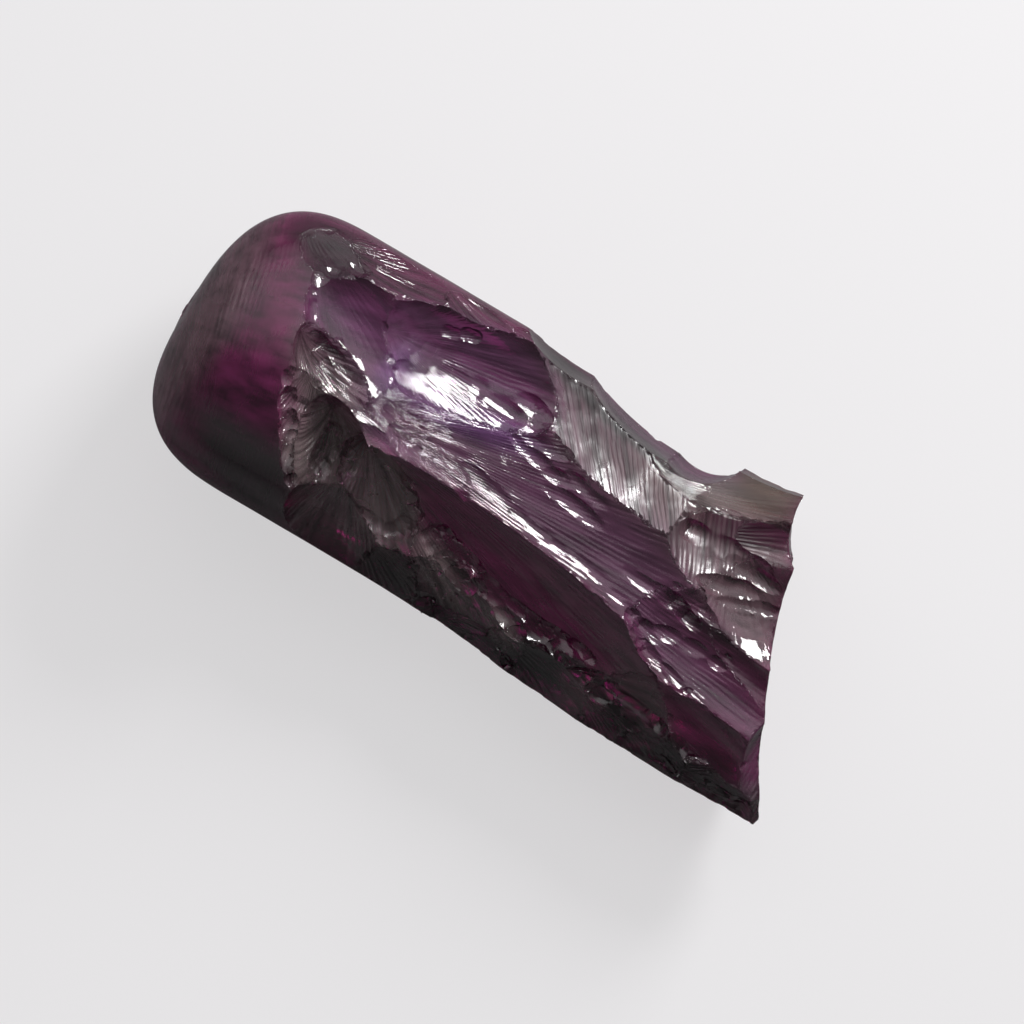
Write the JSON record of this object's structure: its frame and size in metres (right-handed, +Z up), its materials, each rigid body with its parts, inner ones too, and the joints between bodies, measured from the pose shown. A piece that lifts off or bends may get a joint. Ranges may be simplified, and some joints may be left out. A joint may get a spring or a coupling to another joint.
{
  "type": "rough gem crystal",
  "caption": "Rough dark purple gem crystal: a broken rod length with one rounded, smooth-skinned end and a shell-fractured upper face, lying on a flat parting face.",
  "frame": {"origin": "centre of the bounding box at its bottom, on the flat parting face that the stone rests on", "axes": "+X along the stone towards its broken end, with the rounded end at -X; +Z up through the fractured face; +Y towards the side with the long hollow and the small square knob"},
  "size_m": [0.0464, 0.0196, 0.0139],
  "materials": {
    "crystal": "glassy, dark wine purple, see-through in thin places, with hackle and ripples on the broken faces"
  },
  "bodies": {
    "root": {"crystal": "crystal"}
  },
  "joints": []
}
